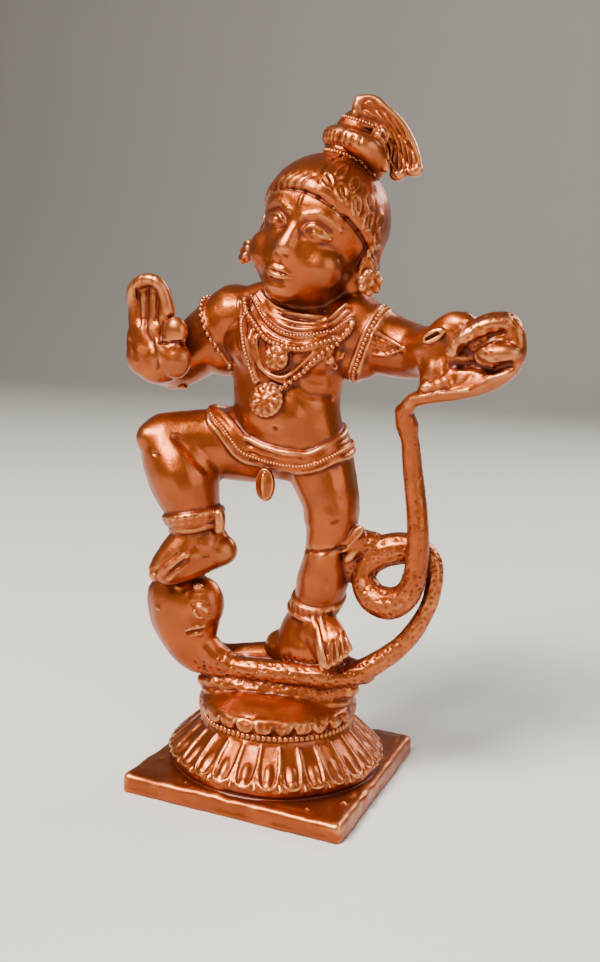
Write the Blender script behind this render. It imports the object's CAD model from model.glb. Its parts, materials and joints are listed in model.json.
"""Boy dancing on a coiled serpent, on a lotus seat and a square plinth: a small copper casting.

The forms are modelled as a wax modeller makes them, shape by shape, run together into one skin,
cut with fine lines and cast as one piece. +X is the boy's left, -Y his front, +Z up, and the origin
is the centre of the plinth's underside. Lengths are written in millimetres and turned to metres.
"""

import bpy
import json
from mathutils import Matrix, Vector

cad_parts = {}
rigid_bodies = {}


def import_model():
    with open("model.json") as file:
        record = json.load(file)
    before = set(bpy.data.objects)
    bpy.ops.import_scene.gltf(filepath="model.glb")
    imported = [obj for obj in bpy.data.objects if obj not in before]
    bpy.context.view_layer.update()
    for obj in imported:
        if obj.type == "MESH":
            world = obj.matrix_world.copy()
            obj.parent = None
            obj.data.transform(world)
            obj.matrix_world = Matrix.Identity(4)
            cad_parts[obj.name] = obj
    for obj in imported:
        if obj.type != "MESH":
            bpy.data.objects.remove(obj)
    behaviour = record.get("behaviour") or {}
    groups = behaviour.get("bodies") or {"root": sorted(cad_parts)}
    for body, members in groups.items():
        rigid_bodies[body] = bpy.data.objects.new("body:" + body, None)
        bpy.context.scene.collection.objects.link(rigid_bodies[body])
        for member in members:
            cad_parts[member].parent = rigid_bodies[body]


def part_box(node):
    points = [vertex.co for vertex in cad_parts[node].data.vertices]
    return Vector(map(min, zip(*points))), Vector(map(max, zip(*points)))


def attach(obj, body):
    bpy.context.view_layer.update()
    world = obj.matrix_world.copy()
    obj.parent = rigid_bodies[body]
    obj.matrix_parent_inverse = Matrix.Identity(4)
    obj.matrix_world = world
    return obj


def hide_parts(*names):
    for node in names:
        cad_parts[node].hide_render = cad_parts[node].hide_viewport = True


bl_info = {
    "name": "Krishna Figure",
    "version": (1, 0, 0),
    "blender": (4, 5, 0),
    "location": "View3D > Sidebar > Figure",
    "description": "A cast copper figure dancing on a serpent, made from wax forms run into one skin",
    "category": "Add Mesh",
}

import json
import math
from contextlib import contextmanager

import bpy
import numpy as np
from mathutils import Matrix, Vector
from mathutils.bvhtree import BVHTree

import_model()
NODE = "krishna_figure"
LOW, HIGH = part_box(NODE)
MM = 0.001
# the grid of the finest skin, over which relief is measured
FINE_GRID = 0.14 * MM
BEAD_RELIEF, BEAD_SHADE = 0.7, 0.2
# lines seen from the front are cast from this far off
FAR = 40

FRONT = Vector((0.0, -1.0, 0.0))
BEHIND = Vector((0.0, 1.0, 0.0))
# the photograph's direction, from the figure to the lens
LENS_WAY = Vector((0.386, -0.910, 0.151)).normalized()

# The boy's joints: x, y, z and the flesh radius there
HIP_R = (-4.6, 0.2, 44.0, 4.9)
THIGH_R = (-10.3, -3.0, 44.4, 4.5)
KNEE_R = (-14.5, -5.8, 44.4, 3.9)
CALF_R = (-11.9, -6.2, 40.3, 4.6)
SHIN_R = (-10.7, -6.1, 37.1, 4.0)
ANKLE_R = (-9.8, -6.0, 34.0, 2.9)
HIP_L = (4.4, 0.4, 42.8, 4.6)
THIGH_L = (6.3, 0.0, 38.0, 3.8)
SHANK_L = (6.5, -0.2, 34.6, 3.5)
KNEE_L = (6.0, -0.7, 31.8, 2.5)
CALF_L = (5.7, 0.2, 27.8, 3.5)
ANKLE_L = (4.6, 0.5, 24.0, 2.8)
SHOULDER_R = (-8.0, 0.4, 60.8, 4.3)
UPPER_ARM_R = (-12.4, 0.7, 57.5, 4.2)
ELBOW_R = (-17.0, 0.2, 54.2, 3.5)
WRIST_R = (-16.8, -4.4, 55.0, 2.7)
SHOULDER_L = (8.4, 0.5, 59.9, 4.3)
UPPER_ARM_L = (12.6, 0.8, 58.0, 3.9)
ELBOW_L = (16.4, 0.4, 57.3, 3.4)
WRIST_L = (19.2, -2.6, 57.8, 2.6)
NECK = (1.4, 0.4, 63.0)
HEAD = (3.3, -0.2, 71.2)
HEAD_UP = (0.30, 0.08, 0.95)
HEAD_FRONT = (-0.12, -0.98, -0.06)
# The cap of hair on the head: left, front, up of its centre, its radii, and the plane it is cut off along
CAP_CENTRE = (0, -0.6, 2.0)
CAP_RADII = (8.0, 8.3, 7.9)
CAP_EDGE = (0, 7.2, 4.2)
CAP_SLANT = (0.0, -0.5, -0.87)
# The topknot's axis lies behind the head's centre
KNOT_FRONT = -1.0

# Trunk sections: x, y, z of the centre, half width, half depth
TRUNK = (
    (0.2, 0.6, 40.2, 3.0, 2.6), (0.2, 0.5, 42.2, 6.2, 4.6), (0.0, 0.4, 44.8, 7.8, 5.3),
    (-0.1, 0.0, 47.4, 7.4, 5.5), (-0.2, -0.2, 50.2, 7.1, 5.3), (-0.2, 0.0, 53.4, 7.5, 5.0),
    (-0.1, 0.2, 56.6, 8.3, 5.2), (0.1, 0.4, 59.2, 8.7, 4.9), (0.6, 0.5, 61.6, 7.0, 4.1),
    (1.2, 0.5, 63.2, 4.2, 3.4), (1.8, 0.4, 64.8, 3.4, 3.2),
)

# The serpent's middle line, x, y, z, radius: from the hood over the seat, round the coil, up to the hand
SERPENT = (
    (-11.0, -4.4, 16.6, 2.2), (-8.6, -4.4, 15.2, 1.7), (-6.0, -4.5, 15.1, 1.6), (-2.9, -4.4, 15.2, 1.6),
    (0.5, -4.0, 15.3, 1.6), (3.8, -3.4, 15.3, 1.6), (7.0, -2.6, 15.3, 1.6), (9.5, -1.5, 15.5, 1.6),
    (11.9, -0.6, 16.4, 1.5), (14.7, 0.0, 18.4, 1.4), (17.1, 0.3, 20.8, 1.3), (18.9, 0.6, 23.7, 1.15),
    (20.0, 0.9, 26.8, 1.1), (20.1, 1.3, 30.0, 1.2), (19.0, 1.6, 32.0, 1.4), (16.6, 1.6, 32.6, 2.0),
    (13.8, 1.2, 32.1, 2.15), (11.8, 0.8, 30.5, 1.9), (11.2, 0.3, 28.3, 1.7), (12.5, -0.2, 26.3, 1.95),
    (14.8, -0.6, 25.7, 2.1), (17.0, -0.8, 26.9, 1.8), (18.1, -1.0, 29.3, 1.5), (18.4, -1.0, 32.0, 1.45),
    (18.3, -1.0, 35.6, 1.4), (17.8, -1.0, 39.3, 1.35), (17.2, -1.3, 43.6, 1.25), (16.9, -2.0, 46.7, 1.15),
    (16.6, -2.6, 48.6, 1.4), (16.3, -3.2, 50.2, 1.1),
)
TAIL_LOOP = (
    (16.3, -3.2, 50.0, 1.0), (17.6, -4.0, 51.6, 0.95), (19.8, -4.5, 52.3, 0.9), (22.8, -4.9, 52.9, 0.95),
    (25.7, -5.1, 53.9, 1.05), (28.1, -5.2, 55.3, 1.15), (29.3, -5.1, 57.1, 1.15),
    (29.3, -5.0, 59.2, 1.15), (28.4, -4.8, 60.9, 1.25), (26.6, -4.9, 61.0, 1.25), (24.9, -5.2, 60.2, 1.2),
    (23.6, -5.6, 59.0, 1.1),
)
# the bright bar in front of the loop, its lower end free
LOOP_BAR = (
    (22.4, -6.3, 57.6, 0.85), (23.2, -6.4, 58.7, 0.85), (24.7, -6.3, 59.9, 0.9), (26.6, -6.0, 60.8, 0.95),
    (28.2, -5.5, 60.9, 1.0),
)
REAR_COIL = (
    (-11.4, -3.4, 17.0, 2.1), (-8.4, -0.8, 14.9, 1.9), (-4.8, 0.6, 15.1, 1.9), (-1.2, 1.0, 15.8, 2.0),
    (2.2, 1.6, 16.3, 2.2), (5.4, 1.6, 16.2, 2.3), (9.0, 1.0, 15.4, 2.0), (12.0, 0.0, 15.9, 1.5),
)
BED_RIM = (
    (-9.4, -4.2, 12.5, 0.8), (-5.3, -5.2, 12.9, 0.95), (0.1, -4.7, 13.0, 0.95), (5.8, -3.0, 13.1, 0.95),
    (9.6, -0.6, 13.1, 0.8),
)
HOOD = (
    (-12.2, -4.6, 26.8, 3.0, 1.6), (-12.1, -4.7, 25.2, 4.9, 2.5), (-12.0, -4.8, 23.4, 5.5, 2.9),
    (-12.0, -4.8, 21.2, 5.2, 2.9), (-11.9, -4.8, 19.2, 4.6, 2.8), (-11.3, -4.7, 17.2, 3.8, 2.6),
    (-10.3, -4.5, 15.2, 3.1, 2.2), (-9.2, -4.4, 13.9, 2.0, 1.5),
)
# Necklaces, seen from the front: x, z of each turn of the strand
TORQUE = ((-3.2, 64.2), (-1.5, 62.6), (0.8, 61.4), (3.1, 60.8), (5.0, 61.0), (6.9, 62.2), (7.8, 63.3))
COLLAR_FINE = ((-4.6, 63.4), (-2.4, 60.9), (0.5, 59.0), (3.6, 58.5), (6.2, 59.0), (8.0, 60.0), (9.3, 60.9))
COLLAR_THICK = ((-5.4, 61.8), (-3.1, 59.6), (-0.7, 57.8), (3.1, 57.0), (5.5, 57.6), (8.6, 58.9), (9.5, 60.3))
STRAND_PLAIN = ((-3.0, 58.8), (-2.6, 56.2), (-1.2, 54.2), (1.2, 53.3), (2.9, 54.2), (5.4, 56.3), (6.8, 57.4))
STRAND_PEARLS = ((9.2, 59.8), (7.9, 58.3), (5.4, 55.9), (2.4, 53.2), (1.1, 52.0))
STRAND_HEAVY = ((-5.5, 62.8), (-5.1, 60.7), (-4.2, 58.6), (-3.7, 56.7), (-3.2, 55.0), (-2.3, 52.9))
# The girdle's upper and lower edges, station beside station, from the right hip round the front and back
GIRDLE_TOP = (
    (-9.3, -3.4, 48.9), (-6.2, -4.6, 47.2), (-3.8, -5.2, 45.4), (-1.6, -5.5, 44.5), (0.7, -5.5, 44.0),
    (3.2, -4.9, 43.8), (5.4, -3.7, 44.2), (7.1, -1.9, 45.5), (8.3, 1.0, 46.8), (6.0, 5.0, 47.6),
    (1.0, 6.4, 48.1), (-4.5, 5.2, 48.6), (-7.8, 2.6, 49.3), (-9.4, -0.6, 49.6),
)
GIRDLE_LOW = (
    (-8.6, -5.4, 47.6), (-6.8, -5.6, 46.0), (-4.6, -5.2, 43.6), (-2.3, -5.0, 42.5), (0.2, -4.9, 42.1),
    (2.8, -4.5, 42.0), (5.4, -3.8, 42.5), (7.4, -2.6, 43.6), (8.6, 0.8, 44.6), (6.2, 5.2, 45.2),
    (1.0, 6.6, 45.6), (-4.5, 5.4, 46.2), (-8.0, 3.0, 47.2), (-9.8, -1.6, 47.8),
)


def linear(code):
    """An sRGB hex colour as linear red, green, blue and alpha."""
    parts = [int(code[i : i + 2], 16) / 255 for i in (1, 3, 5)]
    return (*(p / 12.92 if p <= 0.04045 else ((p + 0.055) / 1.055) ** 2.4 for p in parts), 1.0)


def length_property(name, description, default):
    return bpy.props.FloatProperty(
        name=name, description=description, default=default, unit="LENGTH", precision=6
    )


def count_property(name, description, default, least):
    return bpy.props.IntProperty(name=name, description=description, default=default, min=least)


def colour_property(name, description, code):
    return bpy.props.FloatVectorProperty(
        name=name, description=description, default=linear(code), subtype="COLOR", size=4, min=0, max=1
    )


class FigureSizes(bpy.types.PropertyGroup):
    plinth_side: length_property("Plinth side", "Side of the square plate", HIGH.y - LOW.y)
    plinth_height: length_property("Plinth height", "Thickness of the square plate", 2.4 * MM)
    skirt_radius: length_property("Skirt radius", "Widest radius of the lotus skirt", 14.3 * MM)
    seat_radius: length_property("Seat radius", "Radius of the scalloped seat", 10.6 * MM)
    seat_top: length_property("Seat top", "Height of the seat over the floor", 11.5 * MM)
    petals: count_property("Petals", "Petals round the skirt", 28, 8)
    scallops: count_property("Scallops", "Leaves round the seat's rim", 26, 8)
    waist_beads: count_property("Waist beads", "Beads under the rim", 92, 12)
    fine_skin: length_property("Fine skin", "Grid the whole skin is drawn on", FINE_GRID)
    body_skin: length_property("Body skin", "Grid the bare body is drawn on", 0.3 * MM)
    triangles: count_property("Triangles", "Faces left on the skin", 172000, 1000)


class FigureColours(bpy.types.PropertyGroup):
    copper: colour_property("Copper", "Open metal", "#A24B16")
    rubbed: colour_property("Rubbed copper", "High spots", "#D68E5A")
    recess: colour_property("Recess", "Tarnish in hollows", "#571D0C")
    floor: colour_property("Floor", "Studio floor", "#D3CFC8")


# The shapes of the form in hand, the finished forms, and the bead rows that wait for the cast skin
LOOSE = []
FORMS = []
BEAD_ROWS = []
# furrows and pits to be cut into the cast skin: line, width, depth, side they are seen from, reach
MARKS = []
SURFACES = {}


def mark(line, width, depth, look=LENS_WAY, reach=1.8):
    """Keeps a furrow for the cast skin, or a ridge where its depth is below 0."""
    MARKS.append(([tuple(point)[:3] for point in line], width, depth, look, reach))


def between(first, second, share, steps=6):
    """The line that lies at a share of the way from one line of stations to another."""
    pairs = zip(smooth_line(first, steps=steps), smooth_line(second, steps=steps))
    return [tuple(a + (b - a) * share for a, b in zip(p, q)) for p, q in pairs]


def pick(objects, active=None):
    """Selects these objects alone."""
    for obj in bpy.context.view_layer.objects:
        obj.select_set(False)
    for obj in objects:
        obj.select_set(True)
    bpy.context.view_layer.objects.active = active or objects[0]


@contextmanager
def editing():
    """Edit mode on the active object, with all of it selected."""
    bpy.ops.object.mode_set(mode="EDIT")
    bpy.ops.mesh.select_all(action="SELECT")
    yield
    bpy.ops.object.mode_set(mode="OBJECT")


def link(obj):
    bpy.context.scene.collection.objects.link(obj)
    return obj


def eased(a, b, c, d, t):
    """The smooth curve's value at a share t of the way from b to c, with a and d as their neighbours."""
    square, cube = (2 * a - 5 * b + 4 * c - d) * t**2, (3 * b - a - 3 * c + d) * t**3
    return 0.5 * (2 * b + (c - a) * t + square + cube)


def smooth_line(stations, closed=False, steps=6):
    """Points on a smooth curve through the stations, every value eased alike."""
    count = len(stations)
    line = []
    for i in range(count if closed else count - 1):
        before = stations[(i - 1) % count] if closed else stations[max(i - 1, 0)]
        start = stations[i]
        end = stations[(i + 1) % count]
        after = stations[(i + 2) % count] if closed else stations[min(i + 2, count - 1)]
        for step in range(steps):
            t = step / steps
            line.append(tuple(eased(*values, t) for values in zip(before, start, end, after)))
    if not closed:
        line.append(tuple(stations[-1]))
    return line


def frame_of(up, front):
    """Axes of a turned form: its left, its back and its up, as matrix columns."""
    rise = Vector(up).normalized()
    back = -Vector(front)
    back = (back - rise * back.dot(rise)).normalized()
    left = back.cross(rise)
    return Matrix((left, back, rise)).transposed()


HEAD_AXES = frame_of(HEAD_UP, HEAD_FRONT)


def on_head(left, front, up):
    """A place on the head, in the boy's own left, front and up from its centre."""
    return Vector(HEAD) + HEAD_AXES @ Vector((left, -front, up))


def sphere_pattern(rings):
    """The sphere primitive that every ball of that fineness is copied from."""
    mesh = bpy.data.meshes.get(f"sphere_{rings}")
    if mesh is None:
        bpy.ops.mesh.primitive_uv_sphere_add(segments=2 * rings, ring_count=rings, radius=MM)
        pattern = bpy.context.object
        mesh = pattern.data
        mesh.name = f"sphere_{rings}"
        mesh.use_fake_user = True
        bpy.data.objects.remove(pattern)
    return mesh


def ball(centre, radii, turn=None, rings=12):
    """A copied sphere stretched to an ellipsoid; turn's columns are its own axes."""
    if isinstance(radii, (int, float)):
        radii = (radii,) * 3
    obj = link(bpy.data.objects.new("ball", sphere_pattern(rings).copy()))
    pose = turn.to_4x4() if turn is not None else Matrix.Identity(4)
    obj.matrix_world = Matrix.Translation(Vector(centre[:3]) * MM) @ pose @ Matrix.Diagonal((*radii, 1.0))
    LOOSE.append(obj)
    return obj


def tube(stations, closed=False, sides=3, steps=6):
    """A round bar through stations of x, y, z, radius, on a smooth curve with round ends."""
    line = bpy.data.curves.new("tube", "CURVE")
    line.dimensions = "3D"
    line.bevel_depth = MM
    line.bevel_resolution = sides
    line.use_fill_caps = True
    points = smooth_line(stations, closed, steps)
    spline = line.splines.new("POLY")
    spline.points.add(len(points) - 1)
    for spot, station in zip(spline.points, points):
        spot.co = (*(Vector(station[:3]) * MM), 1.0)
        spot.radius = station[3]
    spline.use_cyclic_u = closed
    LOOSE.append(link(bpy.data.objects.new("tube", line)))
    if not closed:
        for end in (points[0], points[-1]):
            ball(end, end[3] * 0.995, rings=8)


def loft(sections):
    """A body drawn up from a disc, ring by ring, through ellipses of x, y, z, half width, half depth."""
    rows = smooth_line(sections, False, 3)
    x, y, z, wide, deep = rows[0]
    bpy.ops.mesh.primitive_circle_add(vertices=32, radius=MM, fill_type="NGON", location=(0, 0, 0))
    obj = bpy.context.object
    with editing():
        bpy.ops.transform.resize(value=(wide, deep, 1), center_override=(0, 0, 0))
        bpy.ops.transform.translate(value=(x * MM, y * MM, z * MM))
        for before, row in zip(rows, rows[1:]):
            step = (Vector(row[:3]) - Vector(before[:3])) * MM
            bpy.ops.mesh.extrude_region_move(TRANSFORM_OT_translate={"value": step})
            grow = (row[3] / before[3], row[4] / before[4], 1)
            bpy.ops.transform.resize(value=grow, center_override=Vector(row[:3]) * MM)
        bpy.ops.mesh.select_all(action="SELECT")
        bpy.ops.mesh.normals_make_consistent(inside=False)
    LOOSE.append(obj)


def turned(profile):
    """A solid of revolution spun from a profile of radius, height, top to bottom."""
    outline = bpy.data.meshes.new("turned")
    points = [(radius * MM, 0.0, height * MM) for radius, height in profile]
    outline.from_pydata(points, [(i, i + 1) for i in range(len(points) - 1)], [])
    obj = link(bpy.data.objects.new("turned", outline))
    pick([obj])
    with editing():
        bpy.ops.mesh.spin(steps=96, angle=2 * math.pi, center=(0, 0, 0), axis=(0, 0, 1))
        bpy.ops.mesh.select_all(action="SELECT")
        bpy.ops.mesh.remove_doubles(threshold=0.002 * MM)
        bpy.ops.mesh.normals_make_consistent(inside=False)
    LOOSE.append(obj)


def gather(name):
    """Turns the loose shapes to meshes and joins them into one object at the origin."""
    base = link(bpy.data.objects.new(name, bpy.data.meshes.new(name)))
    curves = [obj for obj in LOOSE if obj.type == "CURVE"]
    if curves:
        pick(curves)
        bpy.ops.object.convert(target="MESH")
    pick([base, *LOOSE], active=base)
    bpy.ops.object.join()
    LOOSE.clear()
    with editing():
        bpy.ops.mesh.remove_doubles(threshold=0.0005 * MM)
    return base


def round_the_axis(pattern, count, start=0.0):
    """Copies a finished shape round the seat's upright axis; the pattern itself is removed."""
    for step in range(count):
        copy = link(bpy.data.objects.new(pattern.name, pattern.data.copy()))
        copy.matrix_world = Matrix.Rotation(2 * math.pi * (step + start) / count, 4, "Z")
        LOOSE.append(copy)
    bpy.data.objects.remove(pattern)


def apply(obj, kind, **settings):
    """Adds a modifier with its settings and applies it."""
    pick([obj])
    modifier = obj.modifiers.new(kind.title(), kind)
    for name, value in settings.items():
        setattr(modifier, name, value)
    bpy.ops.object.modifier_apply(modifier=modifier.name)


def run_together(obj, grid, rounds):
    """One closed skin round all of an object's shapes, softened by a few rounds of smoothing."""
    apply(obj, "REMESH", mode="VOXEL", voxel_size=grid, use_smooth_shade=True)
    apply(obj, "SMOOTH", factor=0.5, iterations=rounds)


def surface_of(obj):
    return BVHTree.FromObject(obj, bpy.context.evaluated_depsgraph_get())


def directions(count):
    """Cosine and sine of even turns, once round."""
    turns = [2 * math.pi * step / count for step in range(count)]
    return [(math.cos(turn), math.sin(turn)) for turn in turns]


def laid_on(surface, points, radius, lift=0.35):
    """A line of points moved on to the surface, raised by a share of the radius."""
    line = []
    for point in points:
        spot, normal, _, _ = surface.find_nearest(Vector(point[:3]) * MM)
        line.append((*(spot / MM + normal * radius * lift), radius))
    return line


def from_front(surface, x, z):
    """The place on the surface behind x and z, seen from the front, and its normal."""
    spot, normal, _, _ = surface.ray_cast(Vector((x, -FAR, z)) * MM, -FRONT, 2 * FAR * MM)
    return spot, normal


def seen_from_front(surface, pairs, steps=6):
    """The places on the surface behind a line drawn from the front by x and z."""
    line = []
    for x, z in smooth_line(pairs, steps=steps):
        spot, _ = from_front(surface, x, z)
        if spot is not None:
            line.append(tuple(spot / MM))
    return line


def on_face(left, up, lift=0.0):
    """A place on the front of the head, by left and up from its centre."""
    start = on_head(left, 20, up) * MM
    way = HEAD_AXES @ Vector((0, 1, 0))
    spot, _, _, _ = SURFACES["flesh"].ray_cast(start, way, 40 * MM)
    if spot is None:
        return on_head(left, 6, up)
    return spot / MM - way * lift


def ring_round(surface, centre, axis, reach, radius, lift=0.35, around=28):
    """A band round a limb: rays in towards the centre, square to the axis."""
    axis = Vector(axis).normalized()
    first = axis.orthogonal().normalized()
    second = axis.cross(first)
    line = []
    for x, y in directions(around):
        out = first * x + second * y
        spot, _, _, _ = surface.ray_cast((Vector(centre) + out * reach) * MM, -out, reach * MM)
        where = spot / MM if spot else Vector(centre) + out * reach
        line.append((*(where + out * radius * lift), radius))
    return line


def make_plinth(sizes):
    """The square plate, its top edges worn round, with lumps of flash on its left side."""
    half, top = sizes.plinth_side / 2, sizes.plinth_height
    drop = 6 * MM
    bpy.ops.mesh.primitive_cube_add(size=1, location=(0, 0, (top - drop) / 2))
    plate = bpy.context.object
    plate.scale = (2 * half, 2 * half, top + drop)
    bpy.ops.object.transform_apply(location=True, rotation=False, scale=True)
    with editing():
        bpy.ops.mesh.bevel(offset=0.8 * MM, segments=4, affect="EDGES")
    LOOSE.append(plate)
    ball((-14.2, 3.6, 2.4), (1.0, 2.0, 1.2))
    ball((-14.4, 6.6, 2.6), (0.9, 1.4, 0.9))
    ball((-14.6, -2.6, 2.2), (0.6, 1.1, 0.7))
    grains = ((-6.5, -13.6, 0.28), (9.8, -13.0, 0.3), (13.2, -9.6, 0.32), (12.8, -4.8, 0.3))
    for x, y, size in (*grains, (-12.6, -9.0, 0.25)):
        ball((x, y, top / MM), size, rings=6)


def make_lotus(sizes):
    """One petal and one leaf, each copied round the turned seat."""
    top, rim, skirt = sizes.seat_top / MM, sizes.seat_radius / MM, sizes.skirt_radius / MM
    inner, outer = Vector((rim - 0.4, 0, top - 3.8)), Vector((skirt, 0, 3.9))
    run = outer - inner
    out = Vector((-run.z, 0, run.x)).normalized()
    lean = frame_of(out, (0, -1, 0))
    half = math.pi / sizes.petals

    def on_petal(along, across, lift):
        spot = inner + run * along + out * lift
        angle = across * half
        return Vector((spot.x * math.cos(angle), spot.x * math.sin(angle), spot.z))

    ball(on_petal(0.66, 0, -0.12), (1.5, 0.62, 0.36), lean, rings=9)
    ball(on_petal(0.88, 0, -0.06), (0.5, 0.56, 0.34), lean, rings=8)
    for side in (-1, 1):
        rib = ((0.04, 0.95), (0.4, 0.93), (0.68, 0.84), (0.85, 0.72), (0.95, 0.48), (1.0, 0.12))
        tube([(*on_petal(a, side * b, 0.04), 0.2) for a, b in rib], sides=2, steps=3)
    seam = ((0.72, -0.12), (0.88, 0.02), (1.02, 0.0))
    tube([(*on_petal(a, 1.0, b), 0.22) for a, b in seam], sides=2, steps=2)
    petal = gather("petal")
    ball((rim - 0.5, 0, top - 1.55), (0.5, 1.2, 0.85), rings=9)
    turns = np.linspace(2.8, 6.6, 7)
    edge = [(rim - 0.14, 0.98 * math.cos(a), top - 1.4 + 0.72 * math.sin(a), 0.13) for a in turns]
    tube(edge, sides=2, steps=3)
    ball((rim - 0.08, 0, top - 1.5), (0.16, 0.3, 0.34), rings=7)
    leaf = gather("leaf")
    round_the_axis(petal, sizes.petals, 0.5)
    round_the_axis(leaf, sizes.scallops, 0.5)
    profile = (
        (0.0, top + 1.6), (4.0, top + 1.5), (6.6, top + 1.15), (8.2, top + 0.55), (rim - 1.3, top - 0.05),
        (rim - 0.35, top - 0.65), (rim - 0.2, top - 0.95), (rim - 0.3, top - 1.5),
        (rim - 0.55, top - 2.25), (rim - 0.8, top - 2.45), (rim - 0.5, top - 2.6), (rim - 0.5, top - 3.15),
        (rim - 0.75, top - 3.3), (rim - 0.35, top - 3.45), (rim - 0.35, top - 3.7),
        (rim - 0.3, top - 3.85), (skirt - 1.5, 5.27), (skirt - 0.15, 4.04), (skirt - 0.02, 3.6),
        (skirt - 0.12, 3.05), (skirt - 0.4, 2.75), (skirt - 0.45, 1.2), (0.0, 1.2),
    )
    turned(profile)
    waist = rim - 0.5
    ring = [(math.cos(a) * waist, math.sin(a) * waist, top - 2.88) for a in np.linspace(0, 2 * math.pi, 61)]
    BEAD_ROWS.append((ring, 0.36, 2 * math.pi * waist / sizes.waist_beads, 1.35, 0.1))


def make_serpent():
    """Coils, bed, hood and tail of the serpent under the boy and up to his hand."""
    tube(SERPENT, sides=4)
    tube(TAIL_LOOP, sides=4)
    tube(LOOP_BAR, sides=4)
    tube(REAR_COIL, sides=4)
    across = Matrix.Rotation(math.radians(11), 3, "Z")
    ball((0.6, -1.2, 13.2), (10.8, 3.2, 2.6), across, rings=18)
    ball((0.2, -1.8, 11.6), (10.2, 4.6, 1.8), across, rings=18)
    ball((0.4, -1.8, 13.4), (9.8, 3.6, 1.9), across, rings=18)
    tube(BED_RIM, sides=3)
    make_web()
    loft(HOOD)
    # the serpent's head on the hood's left, run into hood and neck
    ball((-9.2, -5.0, 23.2), (3.0, 2.6, 3.6), rings=16)
    ball((-12.0, -5.5, 22.4), (4.3, 2.2, 4.1), rings=16)
    throat = ((-9.7, -5.1, 21.0, 2.5), (-9.5, -4.9, 18.4, 2.2), (-7.8, -4.6, 16.5, 2.0))
    tube((*throat, (-5.5, -4.5, 15.5, 1.7)), sides=5)
    ball((-9.0, -6.8, 26.0), (0.7, 0.5, 0.5), rings=8)
    # eye, cheek mark and lips of its small face, and the marks on the hood
    mark(((-8.5, -7.6, 23.6), (-7.7, -7.6, 23.4), (-7.3, -7.3, 22.9)), 0.34, -0.22)
    mark(((-9.0, -7.6, 22.8), (-8.5, -7.6, 22.2), (-8.0, -7.5, 22.1)), 0.34, -0.2)
    mark(((-9.3, -7.7, 23.9), (-8.3, -7.6, 24.2), (-7.3, -7.2, 23.9)), 0.4, 0.12)
    mark(((-10.2, -7.6, 20.1), (-9.0, -7.7, 20.6), (-7.7, -7.5, 20.9)), 0.32, -0.18)
    mark(((-10.0, -7.6, 19.7), (-9.0, -7.7, 20.15), (-7.9, -7.4, 20.4)), 0.26, 0.2)
    mark(((-9.7, -7.5, 19.3), (-8.8, -7.6, 19.7), (-8.2, -7.3, 19.8)), 0.3, -0.14)
    mark(((-11.0, -7.7, 25.6), (-11.9, -7.6, 25.7)), 0.36, -0.18)
    mark(((-14.7, -7.3, 22.4), (-14.4, -7.3, 22.3)), 0.3, -0.16)
    mark(((-16.4, -6.6, 25.2), (-16.7, -6.4, 23.2), (-16.0, -6.6, 20.6), (-14.8, -6.8, 18.4)), 0.9, 0.12)


def make_web():
    """The metal between the calf and the closed coil, with a leaf-shaped fin where the mould parted."""
    tube(((7.0, -0.2, 32.6, 1.9), (9.4, 0.3, 32.9, 1.8), (12.0, 0.8, 32.6, 1.8)), sides=3)
    ball((9.5, 0.2, 30.6), (1.9, 1.1, 3.2))
    ball((10.0, -0.6, 33.2), (1.6, 1.1, 2.2))
    lean = Matrix.Rotation(math.radians(38), 3, "Y")
    ball((10.0, -1.5, 33.6), (0.75, 0.55, 2.3), lean, rings=10)
    mark(((9.3, -2.2, 32.6), (10.2, -2.2, 33.8), (11.2, -2.0, 35.0)), 0.3, 0.16)
    ball((9.9, -1.3, 31.4), (0.5, 0.5, 1.4), lean, rings=8)


def make_trunk():
    loft(TRUNK)
    ball((-4.1, -2.8, 57.4), (3.6, 2.6, 2.9))
    ball((4.1, -2.7, 56.6), (3.7, 2.7, 3.1))
    ball((-0.2, -2.6, 48.6), (5.2, 3.7, 4.0))
    ball((-3.2, 2.8, 43.6), (3.9, 3.6, 4.0))
    ball((3.2, 2.8, 43.2), (3.9, 3.6, 4.0))
    ball((-3.8, 0.8, 62.0), (4.4, 3.3, 3.6))
    ball((6.4, 0.7, 61.6), (4.0, 3.2, 3.0))


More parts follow.
